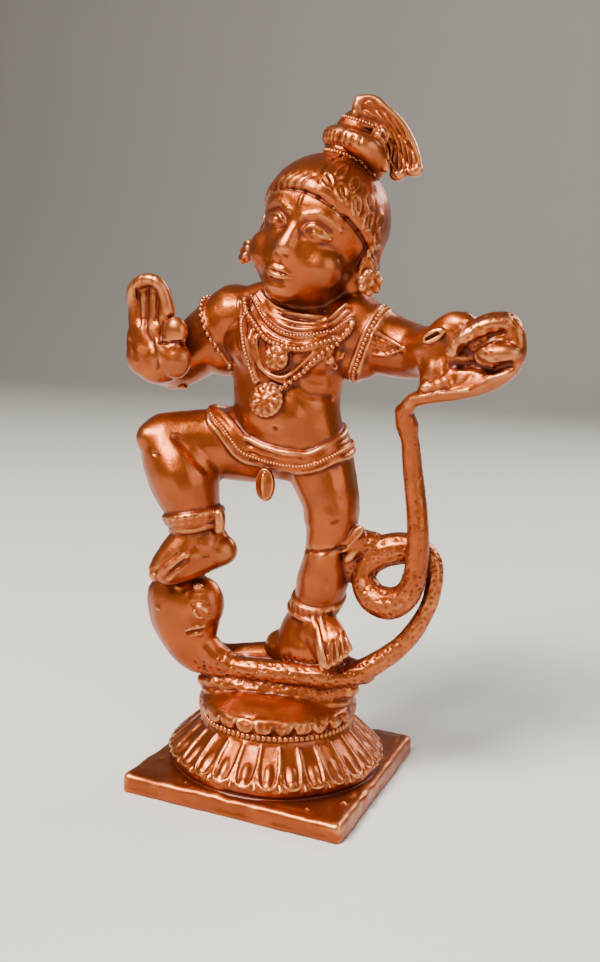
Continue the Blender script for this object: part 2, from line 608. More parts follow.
def make_limbs():
    """Legs, arms and the flesh of hands and head, to be run together softly."""
    tube((HIP_R, THIGH_R, KNEE_R), sides=6)
    tube((KNEE_R, CALF_R, SHIN_R, ANKLE_R), sides=6)
    ball((-15.6, -7.4, 44.9), (2.3, 2.4, 2.4))
    tube((HIP_L, THIGH_L, SHANK_L, KNEE_L, CALF_L, ANKLE_L), sides=6)
    tube(((*ANKLE_L[:3], 2.7), (3.4, 0.8, 20.4, 3.3), (2.6, 0.4, 17.4, 3.5)), sides=5)
    ball((0.9, 0.4, 17.6), (3.2, 2.4, 2.4))
    ball((4.6, -0.8, 18.2), (3.5, 2.9, 2.8))
    ball((5.2, -0.9, 20.4), (2.6, 2.4, 2.8))
    tube((SHOULDER_R, UPPER_ARM_R, ELBOW_R), sides=6)
    tube((ELBOW_R, WRIST_R), sides=5)
    ball((-9.6, 0.6, 56.8), (3.8, 3.4, 3.8))
    tube((SHOULDER_L, UPPER_ARM_L, ELBOW_L), sides=6)
    tube((ELBOW_L, WRIST_L), sides=5)
    ball((9.0, 0.5, 56.9), (3.6, 3.3, 3.6))
    # palm, heel of the hand and the root of the thumb
    ball((-16.9, -6.3, 57.4), (3.7, 1.7, 3.8))
    ball((-17.4, -6.1, 55.2), (3.1, 2.3, 2.7))
    ball((-14.0, -6.7, 55.6), (2.9, 2.1, 2.5))
    ball((-15.6, -6.3, 54.0), (3.2, 2.0, 2.2))
    lean = Matrix.Rotation(math.radians(14), 3, "Y")
    ball((20.2, -3.2, 57.6), (2.3, 2.0, 4.4), lean)
    ball((22.4, -3.6, 60.0), (3.0, 1.8, 2.3))
    ball((20.5, -4.1, 54.6), (2.2, 1.6, 3.0), lean)
    tube(((*NECK[:2], 60.8, 3.3), (*NECK, 3.1), (2.6, 0.2, 65.6, 3.1)), sides=5)
    make_skull()


def make_skull():
    """The bare head: skull, brow, cheeks, chin, and a nose and lips' swelling in plain thirds."""
    ball(on_head(0, -0.4, 1.8), (7.5, 7.7, 7.3), HEAD_AXES, rings=20)
    ball(on_head(0, 1.0, -3.2), (6.4, 6.2, 6.2), HEAD_AXES, rings=20)
    ball(on_head(0, 4.3, -7.4), (2.6, 2.2, 1.9), HEAD_AXES)
    ball(on_head(0, 5.3, 2.4), (5.2, 1.9, 2.6), HEAD_AXES)
    ball(on_head(0, 5.2, -5.9), (2.5, 1.6, 1.6), HEAD_AXES)
    ridge = ((5.6, 1.8, 1.2), (5.9, 0.2, 1.2), (6.3, -1.4, 1.25), (6.7, -3.1, 1.4))
    tube([(*on_head(0, front, up), size) for front, up, size in ridge], sides=5)
    for side in (-1, 1):
        ball(on_head(1.15 * side, 6.1, -3.5), (0.95, 1.1, 0.8), HEAD_AXES)
        ball(on_head(3.3 * side, 3.5, -3.9), (3.2, 2.9, 3.0), HEAD_AXES, rings=16)
        ball(on_head(6.2 * side, -2.4, -3.2), (2.0, 3.2, 4.1), HEAD_AXES)


def make_feet():
    """The raised foot on the hood, seen along its toes, and the other set down over the coil."""
    # raised foot: heel, instep and the deep toe end
    ball((-7.0, -5.2, 30.8), (2.6, 2.3, 2.2))
    tube((ANKLE_R, (-7.4, -5.1, 30.9, 2.3)), sides=4)
    ball((-8.6, -6.6, 31.8), (2.4, 1.9, 2.0))
    tube(((-9.8, -6.2, 33.2, 2.6), (-11.2, -7.4, 30.8, 2.5), (-12.7, -8.4, 28.7, 2.2)), sides=5)
    tube(((-7.4, -5.4, 30.2, 1.9), (-10.2, -7.2, 28.9, 2.1), (-12.4, -8.5, 28.2, 2.0)), sides=5)
    ball((-12.9, -8.5, 28.3), (2.2, 1.8, 1.9))
    ball((-9.3, -7.4, 30.6), (1.7, 1.6, 1.7))
    run = Vector((-0.70, -0.36, -0.62))
    for toe in range(1, 5):
        share = toe / 4
        root = Vector((-10.2 - 0.5 * share, -8.7 + 3.0 * share, 30.6 - 0.2 * share))
        size = 0.95 - 0.25 * share
        tip = root + run * (5.0 - 0.8 * share)
        knuckle = root + run * 2.6 + Vector((0, 0, 0.15))
        tube([(*spot, size) for spot in (root, knuckle, tip)], sides=3, steps=3)
    tube(((-10.4, -8.9, 31.3, 0.6), (-12.3, -9.5, 29.9, 0.66), (-14.0, -9.7, 28.4, 0.66)), sides=3)
    tube(((-9.6, -9.1, 30.5, 0.5), (-11.3, -9.8, 29.1, 0.55), (-12.8, -10.0, 27.8, 0.55)), sides=3)
    tube(((-9.3, -8.6, 29.6, 0.5), (-10.4, -9.3, 28.6, 0.5), (-11.5, -9.7, 27.5, 0.5)), sides=3)
    mark(((-10.4, -10, 30.9), (-12.0, -10, 29.5), (-13.6, -10, 27.9)), 0.24, 0.16)
    mark(((-9.3, -10, 30.2), (-10.8, -10, 28.8), (-12.2, -10, 27.3)), 0.26, 0.16)
    # standing foot: a wedge from the ankle that fans out into its toes
    tube(((4.8, 0.2, 22.8, 2.6), (6.4, -1.4, 20.4, 2.5), (8.2, -2.2, 18.6, 2.1)), sides=5)
    roots = ((6.2, -1.9, 22.2), (6.8, -1.9, 22.3), (7.3, -1.7, 22.4), (7.7, -1.5, 22.5), (8.0, -1.2, 22.6))
    tips = ((8.3, -4.6, 17.9), (9.2, -4.4, 18.2), (9.9, -4.1, 18.7), (10.5, -3.7, 19.2), (10.9, -3.2, 19.9))
    sizes = (0.95, 0.62, 0.6, 0.58, 0.54)
    for root, tip, size in zip(roots, tips, sizes):
        middle = (Vector(root) + Vector(tip)) / 2 + Vector((0.1, -0.4, 0.3))
        tube(((*root, size), (*middle, size * 1.05), (*tip, size * 0.9)), sides=3, steps=4)
    for first, second in zip(tips, tips[1:]):
        tip = (Vector(first) + Vector(second)) / 2
        base = tip + Vector((-0.9, 1.0, 2.2))
        mark((base, tip + Vector((0, -0.5, 0))), 0.24, 0.2)
    mark(((6.4, -3, 23.2), (7.4, -4, 21.6), (8.5, -5, 19.2)), 0.34, 0.2)


def make_raised_hand():
    """The right hand, palm forward: fingers pressed together, their tips bent over as one arch."""
    ball((-16.9, -6.4, 60.2), (3.4, 0.95, 4.8), rings=16)
    for x, top in zip((-19.0, -17.6, -16.1, -14.7), (63.2, 64.3, 64.4, 63.4)):
        tube(((x, -6.7, 57.4, 0.85), (x, -6.6, 61.0, 0.88), (x, -6.6, top, 0.85)), sides=3, steps=4)
    rise = ((-19.3, -6.8, 62.2), (-19.0, -7.3, 63.6), (-17.9, -7.6, 64.7), (-16.4, -7.7, 65.0))
    fall = ((-15.0, -7.6, 64.5), (-14.4, -7.1, 63.0), (-14.1, -6.8, 61.2))
    tube([(*spot, 0.8) for spot in rise + fall], sides=4)
    for x, z in ((-18.4, 64.4), (-17.0, 65.1), (-15.6, 64.9)):
        mark(((x, -8.8, z - 0.9), (x, -8.6, z), (x, -7.6, z + 0.7)), 0.26, 0.07, Vector((0.2, -0.8, 0.5)))
    for line in (
        ((-18.4, -7.3, 63.6), (-18.0, -7.3, 61.8), (-17.9, -7.3, 59.2)),
        ((-17.0, -7.2, 63.6), (-17.0, -7.3, 61.8), (-16.9, -7.4, 59.4)),
        ((-15.5, -7.2, 63.4), (-15.5, -7.3, 61.8), (-15.6, -7.4, 60.0)),
    ):
        mark(line, 0.34, 0.2)
    # thumb: the oval of its tip over the swell of its base
    ball((-12.9, -7.1, 55.1), (2.25, 1.6, 2.35), rings=16)
    ball((-12.4, -7.8, 58.7), (1.55, 1.25, 1.8), rings=16)
    tube(((-13.6, -7.0, 56.0, 1.6), (-12.6, -7.4, 58.2, 1.4)), sides=4)
    mark(((-14.2, -9, 57.4), (-12.6, -9.5, 57.25), (-10.6, -9, 57.5)), 0.36, 0.4)
    mark(((-14.3, -8, 60.0), (-14.3, -8.6, 58.6), (-14.1, -9, 57.4)), 0.4, 0.3)
    crease = ((-17.0, -8, 60.2), (-16.6, -8, 58.4), (-15.6, -8, 57.2), (-14.9, -8.6, 55.6))
    mark((*crease, (-14.6, -8.4, 54.2)), 0.5, 0.26)
    mark(((-19.4, -7.6, 57.2), (-18.6, -8.2, 56.4), (-17.8, -8.1, 55.0)), 0.45, 0.14)
    # rough flash left along the underside of the elbow
    for x, z, size in ((-20.2, 52.6, 0.5), (-18.6, 51.6, 0.6), (-17.0, 51.1, 0.5), (-15.4, 51.2, 0.4)):
        ball((x, -0.4, z), (size * 1.9, 0.8, size * 0.7), rings=8)


def make_holding_hand():
    """The left hand closed on the serpent's tail, with the web and the tail's end inside its loop."""
    slope = Matrix.Rotation(math.radians(-16), 3, "Y")
    ball((23.6, -4.7, 54.2), (5.6, 0.9, 2.0), slope)
    ball((25.6, -4.7, 58.2), (4.2, 0.9, 3.4))
    ball((25.4, -4.6, 56.0), (4.2, 0.8, 2.4))
    ball((26.2, -5.0, 59.0), (3.4, 0.95, 2.2))
    ball((27.6, -5.8, 57.5), (2.7, 1.6, 1.4), Matrix.Rotation(math.radians(-8), 3, "Y"), rings=16)
    for x, z, size in ((19.8, 53.4, 0.6), (21.6, 54.0, 0.75), (23.4, 54.4, 0.6), (25.4, 55.0, 0.5)):
        ball((x, -5.3, z), (size * 1.7, 0.45, size * 0.9), slope, rings=8)
    mark(((22.6, -5.4, 56.2), (24.6, -5.2, 56.1), (27.0, -5.6, 55.7), (29.0, -6, 56.2)), 0.8, 0.4, reach=2.6)
    mark(((23.2, -5.6, 57.8), (24.2, -5.4, 57.2), (24.8, -5.4, 56.4)), 0.8, 0.3, reach=2.6)
    mark(((17.6, -5, 52.0), (21.2, -5.6, 52.8), (24.7, -6, 53.4)), 0.26, -0.2)
    mark(((19.0, -6, 57.0), (19.0, -6, 55.2), (18.6, -6, 53.4)), 0.5, 0.14)
    mark(((20.8, -6, 56.6), (20.9, -6, 55.0), (20.2, -6, 54.0)), 0.5, 0.12)
    # the bracelet: an oval ring with a slot, set on the wrist
    spin = Matrix.Rotation(math.radians(-28), 3, "Y")
    ball((20.0, -4.7, 59.3), (1.5, 0.75, 0.75), spin)
    middle = Vector((20.0, -5.3, 59.3))
    oval = [(*(middle + spin @ Vector((1.2 * x, 0.0, 0.45 * z))), 0.3) for x, z in directions(12)]
    tube(oval, closed=True, sides=3, steps=2)
    mark(((19.4, -6, 58.95), (20.6, -6, 59.65)), 0.24, 0.4)


def make_face():
    """A calm, even face: eyes at mid height, nose and mouth in plain thirds below, ears between them."""
    face = -(HEAD_AXES @ Vector((0, 1, 0)))
    for side in (-1, 1):
        ball(on_face(side * 2.85, -0.35, -0.8), (1.5, 1.1, 0.8), HEAD_AXES, rings=14)
        ball(on_face(side * 2.75, -0.35, 0.22), (0.36, 0.16, 0.36), HEAD_AXES, rings=8)
        upper = ((1.35, -0.5), (1.9, 0.1), (2.8, 0.42), (3.7, 0.15), (4.5, -0.4))
        lower = ((1.45, -0.6), (2.1, -0.98), (2.9, -1.1), (3.7, -0.9), (4.4, -0.45))
        brow = ((0.9, 1.05), (2.2, 1.7), (3.6, 1.75), (5.0, 1.0))
        for line, size, lift in ((upper, 0.26, 0.08), (lower, 0.2, 0.05), (brow, 0.5, -0.32)):
            tube([(*on_face(side * x, up, lift), size) for x, up in line], sides=2, steps=4)
        # the fold over the eye, its inner corner and the nostril
        for front, line, width, depth in (
            (6.4, ((1.5, 0.45), (2.8, 1.0), (4.3, 0.5)), 0.5, 0.1),
            (6.4, ((1.25, 0.3), (1.35, -1.0)), 0.9, 0.16),
            (7.2, ((0.5, -4.15), (0.9, -4.1)), 0.3, 0.14),
        ):
            mark([on_head(side * x, front, up) for x, up in line], width, depth, face, 3)
        ball(on_head(7.3 * side, -0.8, -1.3), (0.9, 1.8, 2.7), HEAD_AXES)
        helix = ((0.7, -0.4), (0.4, 0.8), (-0.7, 1.3), (-1.9, 0.6), (-2.1, -1.2), (-1.4, -2.8), (-0.7, -3.8))
        tube([(*on_head(7.7 * side, f, up), 0.42) for f, up in helix], sides=2, steps=4)
        ball(on_head(7.9 * side, -0.2, -1.5), (0.5, 0.6, 1.0), HEAD_AXES, rings=8)
        ear_jewel(side)
    edge = ((1.9, -5.95), (1.0, -5.72), (0.35, -5.62))
    upper = (*((-x, up) for x, up in edge), (0, -5.68), *reversed(edge))
    lower = ((-1.7, -6.12), (-0.9, -6.4), (0.0, -6.5), (0.9, -6.4), (1.7, -6.12))
    for lip, middle, taper in ((upper, 0.44, 0.1), (lower, 0.5, 0.13)):
        tube([(*on_face(x, up, -0.12), middle - taper * abs(x)) for x, up in lip], sides=3, steps=3)
    # the mouth's line, the dent under it and the groove over it
    for line, width, depth in (
        (((-2.1, -5.98), (-1, -6.05), (0, -6.09), (1, -6.05), (2.1, -5.98)), 0.2, 0.13),
        (((-0.8, -7.2), (0.8, -7.2)), 0.7, 0.12),
        (((0, -4.7), (0, -5.3)), 0.4, 0.08),
    ):
        mark([on_head(x, 7.0, up) for x, up in line], width, depth, face, 3)
    ball(on_face(0, 2.5, 0.0), (0.2, 0.26, 0.85), HEAD_AXES, rings=8)


def ear_jewel(side):
    """A cluster of lobes round a boss, hung at the ear lobe."""
    centre = on_head(9.0, 0.6, -3.4) if side > 0 else on_head(-8.3, 0.9, -5.0)
    turn = frame_of(HEAD_AXES @ Vector((side * 0.75, -0.66, 0)), HEAD_UP)
    ball(centre, (1.55, 1.55, 0.8), turn, rings=10)
    ball(centre + turn @ Vector((0, 0, 0.6)), (0.6, 0.6, 0.45), turn, rings=8)
    for step in range(7):
        angle = step * math.pi / 3.5
        spot = turn @ Vector((1.15 * math.cos(angle), 1.15 * math.sin(angle), 0.35))
        ball(centre + spot, (0.55, 0.55, 0.5), turn, rings=8)
    tube(((*centre, 0.6), (*on_head(7.8 * side, -0.4, -2.2), 0.5)), sides=2)


def hairline(turn):
    """The height of the hair's edge on the head, by the turn from the front."""
    return 4.2 + 0.575 * (8.0 * math.cos(turn) - 7.8)


def on_cap(turn, up, lift=0.0):
    """A place on the cap of hair, by its turn from the front and its height on the head."""
    wide, deep, tall = CAP_RADII
    _, front, middle = CAP_CENTRE
    rise = (up - middle) / tall
    ring = math.sqrt(max(0.0, 1 - rise**2))
    across, along = (wide + lift) * ring * math.sin(turn), (deep + lift) * ring * math.cos(turn)
    return on_head(across, along + front, middle + (tall + lift) * rise)


def make_hair():
    """The close cap of hair, parted above the brow, with soft locks and leaf-shaped curls engraved in it."""
    cap = ball(on_head(*CAP_CENTRE), CAP_RADII, HEAD_AXES, rings=28)
    pick([cap])
    bpy.ops.object.transform_apply(location=True, rotation=True, scale=True)
    with editing():
        slant = HEAD_AXES @ Vector(CAP_SLANT)
        edge = on_head(*CAP_EDGE) * MM
        bpy.ops.mesh.bisect(plane_co=edge, plane_no=slant, use_fill=True, clear_outer=True)
    turns = [math.radians(-105 + 15 * step) for step in range(15)]
    tube([(*on_cap(turn, hairline(turn) + 0.75, -1.15), 1.3) for turn in turns], sides=4, steps=3)
    for first, second in zip(turns[:-1], turns[1:]):
        look = (on_cap(first, 2.0) - on_cap(first, 2.0, -3)).normalized()
        edge = [on_cap(turn, hairline(turn) - 0.55, -0.3) for turn in (first, second)]
        mark(edge, 0.3, 0.22, look)
    for step in range(11):
        turn = math.radians(-88 + 8.5 * step)
        foot = hairline(turn)
        look = (on_cap(turn, foot + 0.8) - on_cap(turn, foot + 0.8, -3)).normalized()
        lock = [on_cap(turn + lean, foot + up) for lean, up in ((-0.03, -0.3), (0.02, 0.6), (0.09, 1.5))]
        mark(lock, 0.28, 0.13, look)
    for degrees, rise, size, tilt in (
        (17, 1.6, 1.15, 55), (33, 1.5, 1.15, 30), (49, 1.5, 1.1, 15), (65, 1.4, 1.1, -10),
        (81, 1.4, 1.0, 20), (27, 3.6, 1.0, -35), (44, 3.5, 1.0, -20), (62, 3.3, 0.95, 25),
        (80, 3.2, 0.9, -20),
    ):
        turn = math.radians(degrees)
        curl(turn, hairline(turn) + rise, size, tilt)
    mark(((6.6, -2.0, 80.4), (6.2, -3.6, 79.7), (5.8, -5.4, 78.3), (5.9, -7.2, 76.4)), 0.26, 0.16)


def curl(turn, up, size, tilt):
    """A leaf-shaped lock on the cap: a fine raised edge round a low swelling."""
    lean = math.radians(tilt)

    def spot(across, along):
        side = across * math.cos(lean) - along * math.sin(lean)
        rise = across * math.sin(lean) + along * math.cos(lean)
        return on_cap(turn + side / 8.0, up + rise)

    look = (on_cap(turn, up) - on_cap(turn, up, -3)).normalized()
    edge = [spot(0.62 * size * math.cos(a), size * math.sin(a)) for a in np.linspace(-1.2, 4.3, 10)]
    mark(edge, 0.26, -0.16, look)
    mark((spot(0, -0.45 * size), spot(0, 0.5 * size)), 0.34, -0.12, look)


def head_ring(up, radius, thick, left=0.0):
    """Stations of a ring round the knot's axis, at a height over the head's centre."""
    return [(*on_head(left + radius * x, KNOT_FRONT + radius * y, up), thick) for x, y in directions(20)]


def make_topknot():
    """The bound knot: beaded tie, ribbed roll, upper tie, tuft with a leaf, boss and plume."""
    core = ((0.3, 7.6, 3.5), (0.0, 12.6, 3.2), (0.7, 14.8, 2.2))
    tube([(*on_head(left, KNOT_FRONT, up), radius) for left, up, radius in core], sides=5)
    for up in (9.25, 10.1):
        tube(head_ring(up, 3.38, 0.26, 0.25), closed=True, sides=2, steps=2)
    BEAD_ROWS.append((head_ring(9.68, 3.5, 0.3, 0.25), 0.24, 0.43, 1.1, 0.1))
    tube(head_ring(11.6, 2.8, 1.4, -0.1), closed=True, sides=5, steps=2)
    # on the boy's left the roll is smooth and comes down over the tie to the cap
    fold = ((7.6, -2.6, 82.0, 1.2), (9.4, -2.0, 81.2, 1.5), (10.3, -0.6, 80.2, 1.5), (9.9, 0.8, 79.2, 1.5))
    tube(fold, sides=5)
    for step in range(17):
        turn = math.radians(48 + 9.5 * step)
        out = Vector((math.cos(turn), math.sin(turn)))
        line = ((3.7, 10.5), (4.2, 11.1), (4.2, 11.7))
        groove = [on_head(-0.1 + r * out.x, KNOT_FRONT + r * out.y, up) for r, up in line]
        mark(groove, 0.26, 0.17, HEAD_AXES @ Vector((out.x, -out.y, 0)))
    tube(head_ring(13.8, 2.35, 0.5, 0.5), closed=True, sides=2, steps=2)
    tube(head_ring(14.5, 2.2, 0.26, 0.6), closed=True, sides=2, steps=2)
    BEAD_ROWS.append((head_ring(14.0, 2.85, 0.3, 0.5), 0.22, 0.42, 1.1, 0.1))
    ball(on_head(0.6, -1.0, 15.8), (2.4, 2.0, 1.6), HEAD_AXES)
    leaf = on_head(0.9, 0.6, 16.2)
    spin = HEAD_AXES @ Matrix.Rotation(math.radians(25), 3, "Y")
    ball(leaf, (0.8, 0.4, 1.1), spin, rings=8)
    edge = [leaf + spin @ Vector((x, -0.35, z)) for x, z in ((0, -1.1), (0.7, 0), (0, 1.1), (-0.7, 0))]
    tube([(*spot, 0.15) for spot in edge], closed=True, sides=2, steps=3)
    # boss at the knot's left, with the tie's end hanging from it along the roll
    ball((10.9, -1.0, 82.5), (1.2, 0.8, 1.2), rings=10)
    ball((10.9, -1.7, 82.5), 0.45, rings=8)
    tube(((11.1, -0.8, 81.5, 0.6), (11.5, -0.6, 80.2, 0.6), (11.6, -0.3, 78.9, 0.55)), sides=3)
    make_plume()


def make_plume():
    """Combed strands that leave the tuft as one sheet and fall over to the boy's left."""
    outer = (
        (7.8, 0.0, 86.8), (9.4, 0.3, 86.9), (11.0, 0.6, 85.8), (12.5, 0.9, 84.3), (13.9, 1.1, 82.3),
        (14.8, 1.3, 80.3), (15.0, 1.3, 79.1),
    )
    inner = (
        (7.4, 0.0, 85.0), (8.7, 0.3, 84.6), (10.2, 0.6, 83.6), (11.4, 0.9, 82.4), (12.0, 1.1, 81.2),
        (12.1, 1.3, 79.9), (12.4, 1.3, 78.8),
    )
    strands = 7
    for strand in range(strands):
        share = strand / (strands - 1)
        line = []
        for place, (x, y, z) in enumerate(between(outer, inner, share, 1)):
            wave = math.sin(2.2 * place + 2.1 * strand)
            line.append((x + 0.06 * wave, y + 0.08 * wave, z, 0.72 - 0.012 * place))
        tube(line, sides=3, steps=5)
    for strand in range(strands):
        share = (strand + 0.1) / 6.2
        line = between(outer, inner, share, 4)
        line = [(x + 0.14 * math.sin(0.7 * i + 1.7 * strand), y, z) for i, (x, y, z) in enumerate(line)][2:]
        for look in (FRONT, BEHIND):
            mark(line, 0.27, 0.24, look, 2.6)
    for x, z, turn in ((12.7, 78.4, 0.4), (14.7, 78.8, 2.2)):
        ball((x, 1.2, z), (1.1, 0.8, 0.85), rings=10)
        angles = turn + np.linspace(0, 4.2, 6)
        spiral = [(x + 0.45 * math.cos(a), 0.5, z + 0.4 * math.sin(a)) for a in angles]
        mark(spiral, 0.22, 0.12, FRONT)


def make_jewellery():
    """Collars, strands, medallions, girdle, armlets and anklets, laid on the bare body."""
    body = SURFACES["flesh"]
    for drop, radius in ((0.42, 0.34), (-0.36, 0.3)):
        ring = ring_round(body, (1.6 + 0.2 * drop, 0.4, 62.9 + drop), (0.18, -0.42, 0.9), 5.6, radius, 0.5)
        tube(ring, closed=True, sides=2, steps=1)
    strand(between(TORQUE, COLLAR_FINE, 0.3, 2), 0.26)
    strand(between(TORQUE, COLLAR_FINE, 0.6, 2), 0.24)
    strand(COLLAR_FINE, 0.3, beads=0.2, gap=0.4)
    strand(between(COLLAR_FINE, COLLAR_THICK, 0.5, 2), 0.2)
    strand(COLLAR_THICK, 0.4, beads=0.3, gap=0.54)
    strand([(x - 0.3, z + 0.2) for x, z in STRAND_PLAIN], 0.26)
    strand([(x + 0.4, z - 0.4) for x, z in STRAND_PLAIN], 0.26)
    strand(STRAND_PEARLS, 0.3, beads=0.33, gap=0.66)
    strand(STRAND_HEAVY, 0.5, beads=0.26, gap=0.44)
    strand([(x - 0.75, z) for x, z in STRAND_HEAVY[:5]], 0.2)
    flower(0.4, 55.9, 1.65, 7)
    flower(-0.4, 50.6, 2.2, 9)
    drops = ((1.3, 57.3, 0.45), (-0.9, 57.3, 0.4))
    cluster = ((6.9, 56.0, 0.75), (7.8, 56.5, 0.6), (6.4, 56.6, 0.5), (7.2, 55.1, 0.5))
    for x, z, size in drops + cluster:
        spot = from_front(body, x, z)[0] / MM
        ball(spot, (size, size * 0.7, size * 0.9), rings=8)
        mark((spot, spot + Vector((0.05, 0, 0.05))), 0.3, 0.2)
    make_girdle(body)
    make_bands(body)


def strand(pairs, radius, beads=0.0, gap=0.0):
    """A necklace strand seen from the front, laid on the body, with a row of beads if asked."""
    surface = SURFACES["flesh"]
    places = seen_from_front(surface, pairs, 4)
    tube(laid_on(surface, places, radius, 0.5), sides=2, steps=1)
    if beads:
        BEAD_ROWS.append((laid_on(surface, places, radius, 1.7), beads * 1.15, gap * 1.1, 0.9, 0.1))


def flower(x, z, radius, petals):
    """A round medallion: a low dome with a ring of soft bosses and shallow pits between them."""
    spot, normal = from_front(SURFACES["flesh"], x, z)
    normal = (normal + FRONT).normalized()
    centre = spot / MM + normal * 0.3
    turn = normal.to_track_quat("Z", "Y").to_matrix()

    def place(angle, share, rise):
        out = turn @ Vector((math.cos(angle), math.sin(angle), 0))
        return centre + out * radius * share + normal * rise, out

    ball(centre, (radius, radius, 0.9), turn, rings=14)
    ball(centre + normal * 0.25, (radius * 0.98, radius * 0.98, 0.45), turn, rings=14)
    for step in range(petals):
        angle = 2 * math.pi * step / petals
        ball(place(angle, 0.62, 0.55)[0], (radius * 0.2, radius * 0.2, 0.3), turn, rings=8)
        angle += math.pi / petals
        pit, out = place(angle, 0.6, 0.6)
        mark((pit, pit + out * radius * 0.1), 0.24, 0.14, normal)
        pit, out = place(angle, 0.3, 0.8)
        mark((pit, pit + out * 0.05), 0.24, 0.12, normal)
    for step in range(2 * petals):
        ball(place(math.pi * step / petals, 0.92, 0.3)[0], radius * 0.11, rings=6)
    ball(centre + normal * 0.7, (radius * 0.22, radius * 0.22, 0.32), turn, rings=8)


def make_girdle(body):
    """A broad girdle low on the hips: four thick ridges on a sunk band, one beaded, and a leaf in front."""
    beaded = 0.72
    # share of the way from the upper to the lower edge, radius, lift
    ridges = ((-0.12, 0.46, 0.4), (0.3, 0.4, 0.4), (beaded, 0.4, 0.4), (1.14, 0.4, 0.4))
    ground = [(step / 4, 0.6, -0.6) for step in range(5)]
    for share, radius, lift in (*ridges, *ground):
        stations = [tuple(a + (b - a) * share for a, b in zip(p, q)) for p, q in zip(GIRDLE_TOP, GIRDLE_LOW)]
        places = smooth_line(stations, closed=True, steps=4)
        tube(laid_on(body, places, radius, lift), closed=True, sides=2, steps=1)
        if share == beaded:
            BEAD_ROWS.append((laid_on(body, places[:36], radius, 1.6), 0.26, 0.42, 0.9, 0.15))
    ball((-0.8, -4.6, 39.9), (1.3, 0.9, 2.2), rings=12)
    turns = np.linspace(0, 5.5, 8)
    edge = [(-0.8 + 1.1 * math.sin(a), -5.0, 40.0 + 1.95 * math.cos(a), 0.22) for a in turns]
    tube(edge, closed=True, sides=2, steps=2)
    tube(((-0.8, -5.5, 41.4, 0.2), (-0.8, -5.6, 39.8, 0.24), (-0.8, -5.2, 38.4, 0.14)), sides=2)


def make_bands(body):
    """Anklets, armlets and the quilted sleeve on the left arm."""
    leg_right, leg_left = (-0.2, 0.0, 1.0), (0.10, -0.38, 1.0)
    arm_right, arm_left = (-0.88, 0.1, -0.46), (0.92, 0.1, -0.38)
    bands = (
        ((-9.8, -6.05, 35.5), leg_right, 4.8, 0.62, 0.35),
        ((-9.8, -6.05, 34.9), leg_right, 4.8, 0.62, 0.4),
        ((-9.8, -6.05, 33.9), leg_right, 4.8, 0.66, 0.35),
        ((4.6, 0.5, 24.9), leg_left, 4.6, 0.42, 0.4),
        ((4.6, 0.5, 24.3), leg_left, 4.6, 0.42, 0.4),
        ((4.5, 0.5, 23.6), leg_left, 4.6, 0.5, 0.3),
        ((-9.9, 0.5, 59.2), arm_right, 6.4, 0.26, 0.2),
        ((10.3, 0.6, 58.9), arm_left, 6.0, 0.24, 0.3),
        ((11.3, 0.6, 58.6), arm_left, 6.0, 0.24, 0.3),
    )
    for centre, axis, reach, radius, lift in bands:
        tube(ring_round(body, centre, axis, reach, radius, lift, 24), closed=True, sides=2, steps=1)
    rows = (((-9.9, 0.5, 59.2), arm_right, 0.36, 0.85), ((10.8, 0.6, 58.75), arm_left, 0.3, 0.58))
    for centre, axis, size, gap in rows:
        BEAD_ROWS.append((ring_round(body, centre, axis, 6.2, 0.3, 0.3, 24), size, gap, 1.0, 0.15))
    # the right anklet's open end laps over on the inner side
    tube(((-5.9, -7.3, 36.0, 0.75), (-5.8, -7.3, 35.1, 0.8), (-5.9, -7.2, 34.1, 0.7)), sides=3)
    # notches round both anklets
    half = Vector((0, 0, 0.4))
    for x, y in directions(22):
        for centre, axis, size in (((-9.8, -6.05, 35.2), leg_right, 3.9), ((4.6, 0.5, 24.6), leg_left, 3.6)):
            out = Vector((x, y, -axis[0] * x - axis[1] * y))
            spot = Vector(centre) + out * size
            mark((spot + half, spot - half), 0.26, 0.08, out.normalized())
    for y, line in (
        (-3.3, ((11.9, 60.0), (14.2, 58.6), (16.0, 57.7))),
        (-3.0, ((11.9, 56.9), (13.6, 56.8), (16.0, 57.6))),
    ):
        tube(laid_on(body, [(x, y, z) for x, z in line], 0.2, 0.3), sides=2, steps=3)
    for step in range(5):
        x = 12.2 + 0.75 * step
        mark(((x, -3.4, 59.5 - 0.45 * step), (x + 0.5, -3.2, 57.0)), 0.22, 0.08)
        mark(((12.0, -3.3, 59.2 - 0.55 * step), (15.4 - 0.4 * step, -3.2, 57.9 - 0.25 * step)), 0.22, 0.08)


def lattice_random(cells, salt):
    """A repeatable random share for each whole-numbered cell."""
    mix = (cells.astype(np.int64) * np.array([73856093, 19349663, 83492791])).sum(-1) + salt * 2654435761
    mix = (mix ^ (mix >> 13)) * 1274126177
    mix = mix ^ (mix >> 16)
    return (mix & 0xFFFF) / 65535.0


def lumps(points, size, salt=1):
    """Smooth noise from -1 to 1 with lumps about that size."""
    place = points / size
    base = np.floor(place)
    part = place - base
    part = part * part * (3 - 2 * part)
    total = np.zeros(len(points))
    for corner in range(8):
        step = np.array([corner & 1, corner >> 1 & 1, corner >> 2 & 1])
        weight = np.prod(np.where(step, part, 1 - part), axis=1)
        total += weight * lattice_random(base + step, salt)
    return total * 2 - 1


def pits(points, size, salt=1):
    """Distance to the nearest of scattered pit centres, as a share of the pit spacing."""
    place = points / size
    base = np.floor(place)
    best = np.full(len(points), 9.0)
    for corner in range(27):
        step = np.array([corner % 3 - 1, corner // 3 % 3 - 1, corner // 9 - 1])
        cell = base + step
        seed = np.stack([lattice_random(cell, salt + axis) for axis in range(3)], axis=1)
        best = np.minimum(best, np.linalg.norm(cell + seed - place, axis=1))
    return best


